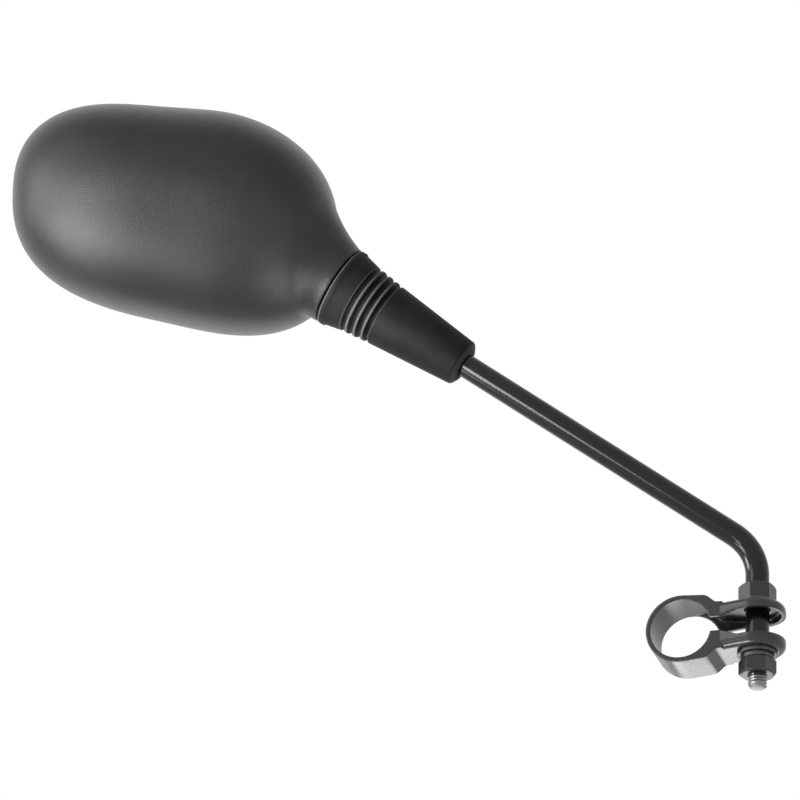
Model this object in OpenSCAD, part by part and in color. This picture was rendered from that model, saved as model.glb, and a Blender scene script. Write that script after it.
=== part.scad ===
// Clamp-on handlebar mirror with a ball-jointed oval head, millimetres, +Z up.
// The origin is the centre of the handlebar bore. The bar runs along Y and
// the threaded stud stands along Z at +X of the bar.

/* [Collar] */
// Inside diameter of the open collar
bore_d = 26; // [24:0.5:30]
// Thickness of the folded steel sheet
sheet_t = 2; // [1.5:0.1:2.5]
// Width of the band along the handlebar
band_w = 19.2; // [16:0.4:24]
// Distance from the bar's centre to the stud's centre
stud_x = 30.8; // [29:0.2:36]
// Height of each ear's outer face from the bar's centre
ear_z = 10.6; // [9.5:0.1:11.5]
// Diameter of the round end of each ear
ear_d = 24; // [22:0.5:27]
// Outside radius of the fold round each ear
fold_r = 3; // [2.6:0.1:3.4]
// Height of the flange edges above the middle plane, at the stud
flange_z = 5.7; // [5:0.1:6.5]
// Height of the upper flange edges above the middle plane, at the bore
flange_bore_z = 3.8; // [3:0.1:5]
// Depth of the lower flange edges under the middle plane, at the bore
lower_flange_bore_z = 2.2; // [1.8:0.1:4]
// Slope of the band where it leaves the loop
band_slope = 5; // [2:1:9]
// Length of the sloping stretch before the shoulder
shoulder_run = 8.5; // [8:0.5:10]
// Radius of the shoulder, outside
shoulder_r = 4; // [3.5:0.5:5]
// Radius of the hollow where the shoulder meets the ear, outside
step_r = 3; // [2:0.5:4]
// How steeply the shoulder drops to the ear
step_angle = 42; // [40:1:65]

/* [Stem] */
// Diameter of the bent rod
rod_d = 10; // [9:0.5:11]
// Diameter of the threaded stud
stud_d = 8; // [7:0.5:8]
// Height at which the rod's bend starts
bend_z = 24.2; // [22:0.2:30]
// Radius of the bend at the rod's centre line
bend_r = 23; // [18:1:30]
// Turn of the bend, from upright
bend_angle = 55.5; // [40:0.5:65]
// Turn of the rod's plane about the stud
rod_yaw = 15; // [0:1:30]
// Straight length from the bend to the ball's centre
rod_run = 187.4; // [150:0.2:230]
// Height of the rod's shoulder, where the thread starts
thread_z = -4; // [-6:0.5:-2]
// Length of thread left below the nut
stud_tail = 5.8; // [4.5:0.2:8]
// Chamfer at the stud's end
stud_chamfer = 1; // [0.5:0.1:1.5]

/* [Fasteners] */
// Width across the flats of both hexagons
hex_af = 14; // [13:0.5:15]
// Height of the hexagon on the rod
hex_h = 7.5; // [6:0.5:9]
// Height of the nut
nut_h = 6.8; // [6:0.2:8]
// Turn of the upper hexagon about the stud
hex_turn = 22; // [0:1:59]
// Turn of the nut about the stud
nut_turn = 8; // [0:1:59]
// Diameter of the washers
washer_d = 17; // [16:0.5:18]
// Thickness of the upper washer
upper_washer_t = 1.2; // [1:0.1:2]
// Thickness of the lower washer
lower_washer_t = 1.6; // [1:0.1:2]
// Height of the split spring washer
spring_washer_t = 2; // [1.6:0.1:2.4]
// Diameter of the split spring washer
spring_washer_d = 14.2; // [13.4:0.2:15]

/* [Ball joint] */
// Diameter of the ball
ball_d = 16; // [15:0.5:16.5]
// Diameter of the rod's end pin, through the ball
pin_d = 5.6; // [5:0.2:6]
// Thickness of the nylon liner
liner_t = 1.56; // [1.4:0.02:1.7]
// Distance from the ball's centre to the housing's end face
seam_t = 12; // [11.5:0.1:13]
// Outside diameter of the pivot base's spigot
spigot_d = 23.2; // [22.8:0.1:23.4]
// Wire diameter of the joint spring
wire_d = 1.6; // [1.2:0.1:1.8]
// Mean diameter of the joint spring
coil_d = 12.4; // [11.5:0.1:13]
// Turns of the joint spring
coil_turns = 4; // [3:0.5:5]

/* [Boot] */
// Diameter of the boot at the housing
boot_d = 34.7; // [34:0.1:35.4]
// Diameter of the boot at its first groove
boot_ring_d = 30.4; // [30:0.1:31]
// Diameter of the boot where the cone starts
boot_cone_d = 27.1; // [26.6:0.1:28]
// Diameter of the cone's small end
boot_end_d = 19.9; // [18:0.1:21]
// Diameter of the chamfered end face
boot_face_d = 14.4; // [13:0.2:16]
// Length from the housing's end face to the first groove
boot_ring_l = 10.6; // [10:0.1:11]
// Distance from groove to groove
groove_pitch = 3.6; // [3.4:0.1:3.8]
// Number of grooves
groove_n = 4; // [3:1:4]
// Width of each groove
groove_w = 2.2; // [1.8:0.1:2.4]
// Depth of each groove
groove_depth = 1.5; // [1:0.1:1.6]
// Whole length of the boot
boot_l = 63.8; // [60:0.2:70]

/* [Head] */
// Turn of the head about the upright
head_yaw = 15; // [5:1:25]
// Turn of the head's back from facing up
head_pitch = 113.5; // [110:0.5:117]
// Half of the oval's long axis
oval_a = 67; // [66:0.1:70]
// Half of the oval's short axis
oval_b = 46.1; // [45.5:0.1:48]
// Squareness of the oval
oval_n = 2.58; // [2.4:0.02:2.8]
// Fall of the oval's long axis towards the neck
oval_tilt = -9; // [-11:0.1:-8]
// Depth of the housing behind the mirror's rim
head_depth = 52; // [50:1:56]
// Squareness of the housing's back
dome_n = 3; // [2.8:0.1:3.3]
// Thickness of the housing's wall
wall = 2.4; // [2.2:0.1:2.8]
// Place of the neck's end along the picture's width
neck_x = 66.3; // [65.5:0.1:68]
// Place of the neck's end along the picture's height
neck_y = -28.8; // [-30:0.1:-28]
// Height of the neck's centre above the rim
neck_n = 24; // [23.5:0.1:25]
// Diameter of the neck at the boot
neck_d = 34.7; // [34:0.1:35.4]
// How far the neck's fillet opens at the back of the head
fillet_back = 7; // [5:0.5:9]
// How far the neck's fillet opens at the glass side
fillet_front = 2.5; // [1.5:0.5:4]
// How much further the neck's fillet opens towards the head's near end
fillet_end = 8; // [0:1:12]
// Slant at which the fillet leaves the neck on that side
fillet_slant = 0.3; // [0:0.05:0.5]
// Thickness of the mirror glass
glass_t = 2; // [1.8:0.1:2.2]
// Thickness of the foam pad behind the glass
foam_t = 0.8; // [0.6:0.1:1]
// Thickness of the glass carrier
carrier_t = 1.4; // [1.2:0.1:1.8]
// Width of the rubber edging round the glass
edging_w = 1.6; // [1.2:0.1:2]

/* [Hidden] */
$fn = 96;

// Running clearances between the joint's pieces, and the overshoot of cuts
ball_gap = 0.04;
liner_gap = 0.05;
fit_gap = 0.1;
rim_gap = 0.36;
cut = 1;

// Collar, worked out from the bore and the sheet
loop_r = bore_d / 2 + sheet_t;
ear_r = ear_d / 2;
flare_start = stud_x - ear_r - 1.8;
hole_gap = 0.3;

// The rod draws a little thinner in its bend, which reaches into both straight runs
bend_d = rod_d - 0.02;
bend_lap = 1;

// Stack on the stud, from the ears outwards
hex_z = ear_z + upper_washer_t;
lower_stack = [0, lower_washer_t, lower_washer_t + spring_washer_t, lower_washer_t + spring_washer_t + nut_h];
stud_end_z = -ear_z - lower_stack[3] - stud_tail;

// Joint, measured along the rod from the ball's centre towards the head
ball_r = ball_d / 2;
ball_flat = ball_r * 0.69;
ball_foot = ball_r * 0.8;
ring_t = 0.8;
liner_out = ball_r + ball_gap + liner_t;
seat_r = liner_out + liner_gap;
liner_low = -4.6;
liner_high = 1.5;
lip_low = -5.2;
pad_low = 4.1;
pad_high = 15;
spring_high = 25;
plate_t = 1.5;
base_flange = [2.5, 6];
base_high = spring_high - plate_t;
base_r = seat_r + 2.9;
flange_r = 14.4;
screw_n = 3;
screw_l = 6;
screw_r = 1;
screw_ring = (seat_r + base_r) / 2;

// Oval: three gentle trims on a squared ellipse, each an order, a cosine and a sine share
trims = [[2, 0.0261, -0.0343], [3, -0.0245, -0.0105], [4, 0.0028, -0.0202]];

// Positions of the ball and of the head
bend_end = [-bend_r * (1 - cos(bend_angle)), bend_z + bend_r * sin(bend_angle)];
ball_plane = bend_end + rod_run * [-sin(bend_angle), cos(bend_angle)];
ball_at = [stud_x, 0, 0] + turn_z([ball_plane[0], 0, ball_plane[1]], rod_yaw);
rod_way = turn_z([-sin(bend_angle), 0, cos(bend_angle)], rod_yaw);
way = turn_x(turn_z(rod_way, -head_yaw), -head_pitch);
neck_end = [neck_x, neck_y, neck_n];
ball_in_head = neck_end - seam_t * way;

function turn_z(v, a) = [v[0] * cos(a) - v[1] * sin(a), v[0] * sin(a) + v[1] * cos(a), v[2]];
function turn_x(v, a) = [v[0], v[1] * cos(a) - v[2] * sin(a), v[1] * sin(a) + v[2] * cos(a)];
function unit(v) = v / norm(v);
function mix(a, b, t) = a * (1 - t) + b * t;
function arc(c, r, from, to, n) = [for (i = [0:n]) c + r * [cos(mix(from, to, i / n)), sin(mix(from, to, i / n))]];
function mirrored(points) = [for (i = [len(points) - 1:-1:0]) [points[i][0], -points[i][1]]];

module at_joint() {
    translate([stud_x, 0, 0]) rotate([0, 0, rod_yaw]) translate([-bend_r, 0, bend_z]) rotate([0, -bend_angle, 0])
        translate([bend_r, 0, rod_run]) children();
}

module at_head() {
    translate(ball_at) rotate([0, 0, head_yaw]) rotate([head_pitch, 0, 0]) translate(-ball_in_head) children();
}

// Collar

// Upper edge of the band's side view, drawn inwards by the given depth
function band_edge(depth) = let (
        leave = [cos(90 - band_slope), sin(90 - band_slope)],
        along = [cos(-band_slope), sin(-band_slope)],
        shoulder = loop_r * leave + shoulder_run * along - shoulder_r * leave,
        low = 90 - step_angle,
        drop = shoulder + shoulder_r * [cos(low), sin(low)],
        step_start_z = ear_z + step_r * (1 - sin(low)),
        fall = (drop[1] - step_start_z) / sin(step_angle),
        step = drop + fall * [cos(step_angle), -sin(step_angle)] + step_r * [cos(low), sin(low)]
    ) concat(
        [(loop_r - depth) * leave],
        arc(shoulder, shoulder_r - depth, 90 - band_slope, low, 6),
        arc(step, step_r + depth, 180 + low, 270, 6)
    );

module band_side(depth) {
    edge = band_edge(depth);
    last = edge[len(edge) - 1];
    circle(r = loop_r - depth);
    polygon(concat([[0, loop_r - depth]], edge, [[flare_start + cut, last[1]]], [[flare_start + cut, -last[1]]],
        mirrored(edge), [[0, depth - loop_r]]));
}

// Section through an ear's rim: plate, fold and flange, thinned on each face by the given skin
module ear_section(skin = 0) {
    bend_x = ear_r - fold_r;
    bend_y = ear_z - fold_r;
    inner_fold = fold_r - sheet_t;
    flange_low = min(flange_bore_z, lower_flange_bore_z) - cut;
    polygon(concat([[0, ear_z - skin]], arc([bend_x, bend_y], fold_r - skin, 90, 0, 8),
        [[ear_r - skin, flange_low], [ear_r - sheet_t + skin, flange_low]],
        arc([bend_x, bend_y], inner_fold + skin, 0, 90, 4), [[0, ear_z - sheet_t + skin]]));
}

module ear() {
    corner = [stud_x - flare_start, band_w / 2];
    lean = 90 - acos(ear_r / norm(corner)) - atan2(corner[1], corner[0]);
    reach = sqrt(corner * corner - ear_r * ear_r);
    skin = 0.02;
    lap = 0.5;
    translate([stud_x, 0, 0]) {
        rotate([0, 0, -90 - lean]) rotate_extrude(angle = 180 + 2 * lean) ear_section();
        for (side = [0, 1]) mirror([0, side, 0])
            rotate([0, 0, 90 + lean]) rotate([90, 0, 0]) translate([0, 0, -reach - lap])
                linear_extrude(reach + 2 * lap) ear_section(skin);
    }
}

module collar_strap() {
    color([0.2, 0.2, 0.21]) difference() {
        union() {
            rotate([90, 0, 0]) translate([0, 0, -band_w / 2]) linear_extrude(band_w) band_side(0);
            for (half = [0, 1]) mirror([0, 0, half]) ear();
        }
        rotate([90, 0, 0]) cylinder(d = bore_d, h = band_w + 2 * cut, center = true);
        rotate([90, 0, 0]) translate([0, 0, sheet_t - band_w / 2]) linear_extrude(band_w - 2 * sheet_t)
            intersection() {
                band_side(sheet_t);
                translate([0, -loop_r]) square([stud_x, 2 * loop_r]);
            }
        rotate([90, 0, 0]) translate([0, 0, -ear_d]) linear_extrude(2 * ear_d)
            polygon([[0, flange_bore_z], [flare_start, flange_bore_z + 0.3], [stud_x - ear_r / 2, flange_z],
                [stud_x + ear_d, flange_z], [stud_x + ear_d, -flange_z], [stud_x - ear_r / 2, -flange_z],
                [flare_start, -lower_flange_bore_z - 0.3], [0, -lower_flange_bore_z]]);
        translate([stud_x, 0, 0]) cylinder(d = rod_d + 2 * hole_gap, h = loop_r);
        translate([stud_x, 0, -loop_r]) cylinder(d = stud_d + 2 * hole_gap, h = loop_r);
    }
}

// Fasteners on the stud

module ring(outer, inner, height) {
    rotate_extrude() translate([inner / 2, 0]) square([(outer - inner) / 2, height]);
}

module upper_washer() {
    color([0.3, 0.3, 0.31]) translate([stud_x, 0, ear_z]) ring(washer_d, rod_d + hole_gap, upper_washer_t);
}

module lower_washer() {
    color([0.3, 0.3, 0.31]) translate([stud_x, 0, -ear_z - lower_stack[1]])
        ring(washer_d, stud_d + hole_gap, lower_washer_t);
}

module spring_washer() {
    split = 1.4;
    color([0.22, 0.22, 0.23]) translate([stud_x, 0, -ear_z - lower_stack[2]]) difference() {
        ring(spring_washer_d, stud_d + hole_gap, spring_washer_t);
        rotate([25, 0, 70]) translate([0, -split / 2, -spring_washer_d]) cube([spring_washer_d, split, 2 * spring_washer_d]);
    }
}

// Hexagon with its corners turned off at one or both ends
module hexagon(height, bore, low_chamfer, high_chamfer) {
    corner = hex_af / cos(30) / 2;
    rim = hex_af / 2 * 0.96;
    drop = (corner - rim) * tan(30);
    difference() {
        intersection() {
            cylinder(r = corner, h = height, $fn = 6);
            rotate_extrude() polygon([[0, 0], [low_chamfer ? rim : corner, 0], [corner, low_chamfer ? drop : 0],
                [corner, height - (high_chamfer ? drop : 0)], [high_chamfer ? rim : corner, height], [0, height]]);
        }
        translate([0, 0, -cut]) cylinder(d = bore, h = height + 2 * cut);
    }
}

module hex_collar() {
    color([0.16, 0.16, 0.17]) translate([stud_x, 0, hex_z]) rotate([0, 0, hex_turn]) hexagon(hex_h, rod_d, false, true);
}

module clamp_nut() {
    color([0.16, 0.16, 0.17]) translate([stud_x, 0, -ear_z - lower_stack[3]]) rotate([0, 0, nut_turn])
        hexagon(nut_h, stud_d + fit_gap, true, true);
}

// Stem

module stem_rod() {
    neck_r = 4;
    neck_run = 8;
    color([0.05, 0.05, 0.055]) {
        translate([stud_x, 0, 0]) rotate([0, 0, rod_yaw]) {
            rotate_extrude() polygon([[0, stud_end_z], [stud_d / 2 - stud_chamfer, stud_end_z],
                [stud_d / 2, stud_end_z + stud_chamfer], [stud_d / 2, thread_z - stud_chamfer / 2],
                [rod_d / 2, thread_z], [rod_d / 2, bend_z], [0, bend_z]]);
            translate([-bend_r, 0, bend_z]) rotate([90, 0, 0]) rotate([0, 0, -bend_lap])
                rotate_extrude(angle = bend_angle + 2 * bend_lap) translate([bend_r, 0]) circle(d = bend_d);
        }
        at_joint() rotate_extrude() polygon([[0, -rod_run], [rod_d / 2, -rod_run], [rod_d / 2, -ball_foot - neck_run],
            [neck_r, -ball_foot - neck_run + 2], [neck_r, -ball_foot], [pin_d / 2, -ball_foot],
            [pin_d / 2, ball_flat], [pin_d / 2 - 0.4, ball_flat], [pin_d / 2 - 0.4, ball_flat + ring_t],
            [pin_d / 2, ball_flat + ring_t], [pin_d / 2, ball_flat + ring_t + 0.4],
            [pin_d / 2 - 0.3, ball_flat + ring_t + 0.7], [0, ball_flat + ring_t + 0.7]]);
    }
}

// Ball joint

module joint_ball() {
    color([0.55, 0.55, 0.56]) at_joint() difference() {
        sphere(d = ball_d);
        cylinder(d = pin_d, h = 2 * ball_d, center = true);
        translate([0, 0, ball_flat]) cylinder(d = ball_d, h = ball_r);
        translate([0, 0, -ball_foot - ball_r]) cylinder(d = ball_d, h = ball_r);
    }
}

module ball_ring() {
    gap_w = 3;
    color([0.3, 0.3, 0.31]) at_joint() translate([0, 0, ball_flat]) difference() {
        ring(pin_d + 2.8, pin_d - 0.8, ring_t);
        translate([0, -gap_w / 2, -cut]) cube([ball_r, gap_w, ring_t + 2 * cut]);
    }
}

module socket_liner() {
    color([0.85, 0.85, 0.8]) at_joint() difference() {
        intersection() {
            sphere(r = liner_out);
            translate([0, 0, liner_low]) cylinder(r = liner_out + cut, h = liner_high - liner_low);
        }
        sphere(r = ball_r + ball_gap);
    }
}

module pivot_base() {
    tube_low = seam_t + base_flange[0];
    color([0.12, 0.12, 0.12]) at_joint() difference() {
        union() {
            intersection() {
                sphere(d = spigot_d);
                translate([0, 0, lip_low]) cylinder(d = spigot_d, h = -lip_low);
            }
            cylinder(d = spigot_d, h = tube_low);
            translate([0, 0, tube_low]) cylinder(r = flange_r, h = base_flange[1] - base_flange[0]);
            translate([0, 0, tube_low]) cylinder(r = base_r, h = base_high - tube_low);
        }
        sphere(r = seat_r);
        cylinder(r = seat_r, h = base_high + cut);
        translate([0, 0, base_high - screw_l - 1]) screws_at() cylinder(r = screw_r, h = screw_l + 1 + cut);
    }
}

module pressure_pad() {
    boss_r = 4.2;
    boss_h = 3;
    color([0.85, 0.85, 0.8]) at_joint() difference() {
        union() {
            translate([0, 0, pad_low]) cylinder(r = seat_r - fit_gap, h = pad_high - pad_low);
            cylinder(r = boss_r, h = pad_high + boss_h);
        }
        sphere(r = ball_r + ball_gap);
    }
}

// Coil with closed ends, each ring of points square to the wire
module joint_spring() {
    steps = 18 * coil_turns;
    sides = 8;
    rise = base_high - pad_high - wire_d;
    function climb(u) = let (e = 0.16) u < e ? u * u / (2 * e) : u > 1 - e ? 1 - e - (1 - u) * (1 - u) / (2 * e) : u - e / 2;
    points = [for (i = [0:steps]) let (u = i / steps, a = 360 * coil_turns * u,
                h = pad_high + wire_d / 2 + rise * climb(u) / (1 - 0.16))
            for (k = [0:sides - 1]) let (b = 360 * (k + 0.5) / sides, r = coil_d / 2 + wire_d / 2 * cos(b))
                [r * cos(a), r * sin(a), h + wire_d / 2 * sin(b)]];
    last = steps * sides;
    color([0.6, 0.6, 0.62]) at_joint() polyhedron(points, concat(
        [[for (k = [sides - 1:-1:0]) k]],
        [for (i = [0:steps - 1]) for (k = [0:sides - 1]) let (n = (k + 1) % sides)
            [i * sides + k, i * sides + n, (i + 1) * sides + n, (i + 1) * sides + k]],
        [[for (k = [0:sides - 1]) last + k]]));
}

module screws_at() {
    for (i = [0:screw_n - 1]) rotate([0, 0, 60 + 360 * i / screw_n]) translate([screw_ring, 0, 0]) children();
}

module spring_plate() {
    color([0.6, 0.6, 0.62]) at_joint() translate([0, 0, base_high]) difference() {
        ring(2 * base_r, 4, plate_t);
        translate([0, 0, -cut]) screws_at() cylinder(r = screw_r, h = plate_t + 2 * cut);
    }
}

module plate_screws() {
    head_r = 1.9;
    head_h = 1.3;
    color([0.7, 0.7, 0.7]) at_joint() translate([0, 0, base_high]) screws_at()
        rotate_extrude() polygon([[0, -screw_l], [screw_r, -screw_l], [screw_r, plate_t], [head_r, plate_t],
            [head_r, plate_t + head_h / 2], [head_r / 2, plate_t + head_h], [0, plate_t + head_h]]);
}

// Boot

module rubber_boot() {
    slack = 0.8;
    start = seam_t - slack;
    cone_s = boot_ring_l + groove_n * groove_pitch - (groove_pitch - groove_w);
    chamfer_l = 1.5;
    function crest_r(s) = mix(boot_ring_d, boot_cone_d, (s - boot_ring_l) / (cone_s - boot_ring_l)) / 2;
    grooves = [for (k = [0:groove_n - 1]) let (s = boot_ring_l + k * groove_pitch, e = s + groove_w)
            each [[crest_r(s), seam_t - s], [crest_r(s) - groove_depth * 0.8, seam_t - s - 0.15],
                [crest_r(s) - groove_depth, seam_t - mix(s, e, 0.3)], [crest_r(e) - groove_depth, seam_t - mix(s, e, 0.7)],
                [crest_r(e) - groove_depth * 0.8, seam_t - e + 0.15], [crest_r(e), seam_t - e]]];
    room = spigot_d / 2 + 0.4;
    color([0.09, 0.09, 0.09]) at_joint() rotate_extrude() polygon(concat(
        [[room, start], [boot_d / 2 - 0.4, start], [boot_d / 2, start - 0.4]],
        grooves,
        [[boot_end_d / 2, seam_t - boot_l + chamfer_l], [boot_face_d / 2, seam_t - boot_l],
            [rod_d / 2 + 0.05, seam_t - boot_l], [rod_d / 2 + 0.05, -16], [7.5, -12], [room - 1.1, -6], [room, 1]]));
}

// Head

// Radius of the rim's oval at an angle, drawn in by the given depth
function oval_r(a, depth) = let (b = a - oval_tilt,
        trim = 1 + sumof([for (t = trims) t[1] * cos(t[0] * b) + t[2] * sin(t[0] * b)]))
    trim * pow(pow(abs(cos(b)) / oval_a, oval_n) + pow(abs(sin(b)) / oval_b, oval_n), -1 / oval_n) - depth;
function sumof(list) = list * [for (i = list) 1];
function oval_point(a, depth) = oval_r(a, depth) * [cos(a), sin(a)];

// How far out a point lies: 1 is on the dome
function reach_of(p, depth) = let (r = norm([p[0], p[1]]), a = r == 0 ? 0 : atan2(p[1], p[0]))
    pow(pow(r / oval_r(a, depth), dome_n) + pow(abs(p[2]) / (head_depth - depth), dome_n), 1 / dome_n);
function on_dome(p, depth) = p / reach_of(p, depth);

// Neck: directions square to the rod's axis, and a ring about it
back_side = unit([0, 0, 1] - way[2] * way);
cross_side = unit(cross(back_side, way));
neck_angle = atan2(-way[1], -way[0]);
function spoke(a) = cos(a) * back_side + sin(a) * cross_side;
function neck_ring(s, r, a) = neck_end + s * way + r * spoke(a);

// Distance along the neck at which a line beside its axis enters the dome
function entry(r, a, depth, low = -seam_t, high = head_depth - neck_d / 5, n = 16) = n == 0 ? (low + high) / 2 :
    let (m = (low + high) / 2) reach_of(neck_ring(m, r, a), depth) > 1
        ? entry(r, a, depth, m, high, n - 1) : entry(r, a, depth, low, m, n - 1);

// A rib of the shell: down the neck, through the fillet and over the dome to the rim
function hermite(p, q, u, v, t) = (2 * t ^ 3 - 3 * t ^ 2 + 1) * p + (t ^ 3 - 2 * t ^ 2 + t) * u
    + (3 * t ^ 2 - 2 * t ^ 3) * q + (t ^ 3 - t ^ 2) * v;
function rib(a, r, lead, flare, slant, depth, fillet_n, dome_rows) = let (
        b = neck_angle + 180 + a,
        rim = [oval_r(b, depth) * cos(b), oval_r(b, depth) * sin(b), 0],
        wide = r + flare,
        start = neck_ring(lead, r, a),
        join = on_dome(neck_ring(entry(wide, a, depth), wide, a), depth),
        next = on_dome(mix(join, rim, 0.04), depth),
        span = norm(join - start)
    ) concat(
        [for (i = [0:fillet_n]) hermite(start, join, unit(way + slant * spoke(a)) * span,
            unit(next - join) * span, i / fillet_n)],
        [for (i = [1:dome_rows]) i == dome_rows ? rim : on_dome(mix(join, rim, i / dome_rows), depth)]
    );

module housing() {
    columns = 90;
    lip_r = spigot_d / 2 + 0.2;
    inner_r = flange_r + fit_gap;
    neck_land = 0.8;
    rim_land = carrier_n + carrier_t;
    ribs = [for (i = [0:columns - 1]) let (a = 360 * i / columns,
                ended = max(0, -sin(a)) ^ 2,
                flare = mix(fillet_front, fillet_back, (1 + cos(a)) / 2) + fillet_end * ended
                    - fillet_front * max(0, sin(a)) ^ 2,
                outer = rib(a, neck_d / 2, neck_land, flare, fillet_slant * ended, 0, 7, 14),
                inner = rib(a, inner_r, base_flange[0], 0, 0, wall, 1, 9),
                last = len(inner) - 1,
                land = inner[last] + [0, 0, min(rim_land, 0.6 * inner[last - 1][2])])
            concat([neck_ring(0, neck_d / 2, a)], outer, [inner[last], land],
                [for (j = [last - 1:-1:0]) inner[j]],
                [neck_ring(base_flange[0], lip_r, a), neck_ring(0, lip_r, a)])];
    rows = len(ribs[0]);
    color([0.13, 0.13, 0.13]) at_head() polyhedron(
        [for (r = ribs) each r],
        [for (i = [0:columns - 1]) for (j = [0:rows - 1])
            let (n = (i + 1) % columns, k = (j + 1) % rows, p = i * rows, q = n * rows)
            each [[p + j, q + j, q + k], [p + j, q + k, p + k]]],
        convexity = 6);
}

module oval(depth) {
    polygon([for (i = [0:119]) oval_point(i * 3, depth)]);
}

glass_n = 0.4;
foam_n = glass_n + glass_t;
carrier_n = foam_n + foam_t;

module glass_edging() {
    color([0.06, 0.06, 0.06]) at_head() linear_extrude(foam_n) difference() {
        oval(wall + rim_gap);
        oval(wall + edging_w);
    }
}

module mirror_glass() {
    color([0.8, 0.85, 0.88]) at_head() translate([0, 0, glass_n]) linear_extrude(glass_t)
        oval(wall + edging_w + fit_gap);
}

module foam_pad() {
    color([0.25, 0.25, 0.25]) at_head() translate([0, 0, foam_n]) linear_extrude(foam_t) oval(wall + 2 * edging_w);
}

module glass_carrier() {
    color([0.1, 0.1, 0.1]) at_head() translate([0, 0, carrier_n]) linear_extrude(carrier_t) oval(wall + rim_gap);
}

collar_strap();
upper_washer();
hex_collar();
stem_rod();
lower_washer();
spring_washer();
clamp_nut();
joint_ball();
ball_ring();
socket_liner();
rubber_boot();
housing();
pivot_base();
pressure_pad();
joint_spring();
spring_plate();
plate_screws();
glass_carrier();
foam_pad();
mirror_glass();
glass_edging();
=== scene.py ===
"""The look of a clamp-on handlebar mirror: a grained oval head, a ringed rubber boot, a painted bent rod
and a pressed steel collar, seen from the back of the head. Lengths are in metres; the part's own sizes
are given in millimetres and turned to metres by MM."""

import logging
from dataclasses import dataclass, field
from enum import Enum
from math import atan2, cos, degrees, hypot, pi, radians, sin
from typing import Any, Sequence

import bmesh
import bpy
import numpy as np
from mathutils import Matrix, Vector


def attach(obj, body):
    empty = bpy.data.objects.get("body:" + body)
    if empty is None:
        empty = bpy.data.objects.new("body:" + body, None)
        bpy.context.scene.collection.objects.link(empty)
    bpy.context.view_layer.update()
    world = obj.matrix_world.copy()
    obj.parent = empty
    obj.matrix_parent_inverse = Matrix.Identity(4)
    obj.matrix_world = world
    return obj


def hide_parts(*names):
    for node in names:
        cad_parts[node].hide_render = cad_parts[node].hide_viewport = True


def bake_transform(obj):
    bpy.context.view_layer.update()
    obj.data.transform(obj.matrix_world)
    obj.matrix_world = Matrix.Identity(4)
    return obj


Colour = Triple = tuple[float, float, float]
Finish = bpy.types.Material
Piece = bpy.types.Object
Socket = bpy.types.NodeSocket
Settings = dict[Any, Any] | None

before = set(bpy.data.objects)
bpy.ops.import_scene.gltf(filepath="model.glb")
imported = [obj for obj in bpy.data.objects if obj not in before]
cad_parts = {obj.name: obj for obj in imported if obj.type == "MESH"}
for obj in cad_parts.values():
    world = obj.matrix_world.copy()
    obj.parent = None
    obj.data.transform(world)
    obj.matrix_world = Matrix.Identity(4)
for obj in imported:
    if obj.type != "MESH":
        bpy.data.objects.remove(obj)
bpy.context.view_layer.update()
MM = 0.001
SHARP = radians(35)
TINY = 1e-6
WHITE = (1.0, 1.0, 1.0, 1.0)
LOG = logging.getLogger("mirror")


class Body(Enum):
    """The rigid bodies that pieces ride on."""
    CLAMP = "clamp"
    STEM = "stem"
    WASHERS = "washers"
    NUT = "nut"
    BOOT = "boot"
    SEAT = "seat"
    HEAD = "head"


# Nodes

class Nodes:
    """A node tree whose nodes all come from one method."""

    def __init__(self, tree: bpy.types.NodeTree) -> None:
        """Takes a node tree and empties it."""
        self.tree = tree
        tree.nodes.clear()

    def node(self, kind: str, settings: Settings = None, values: Settings = None) -> bpy.types.Node:
        """Adds a node.

        Args:
            kind: the node's type.
            settings: its own settings, set first.
            values: numbers, colours, finishes, sockets or Values for its inputs, by name or index.

        Returns:
            The node.
        """
        node = self.tree.nodes.new(kind)
        for key, setting in (settings or {}).items():
            setattr(node, key, setting)
        for key, value in (values or {}).items():
            self.put(node.inputs[key], value)
        return node

    def put(self, target: Socket, value: Any) -> None:
        """Sets an input to a plain value, or links it to a socket or Value."""
        if isinstance(value, Value):
            value = value.socket
        if isinstance(value, Socket):
            self.tree.links.new(value, target)
        else:
            target.default_value = (*value, 1) if target.type == "RGBA" and len(value) == 3 else value

    def number(self, kind: str, output: str, settings: Settings = None,
               values: Settings = None) -> "Value":
        """Adds a node as node() does, and returns one of its outputs for arithmetic."""
        return Value(self, self.node(kind, settings, values).outputs[output])

    def seen(self) -> "Value":
        """1 for rays that show a surface, straight, mirrored or through glass, and 0 for those that light."""
        path = self.node("ShaderNodeLightPath")
        camera, glossy, through = (Value(self, path.outputs[f"Is {ray} Ray"])
                                   for ray in ("Camera", "Glossy", "Transmission"))
        return camera.larger(glossy).larger(through)


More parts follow.
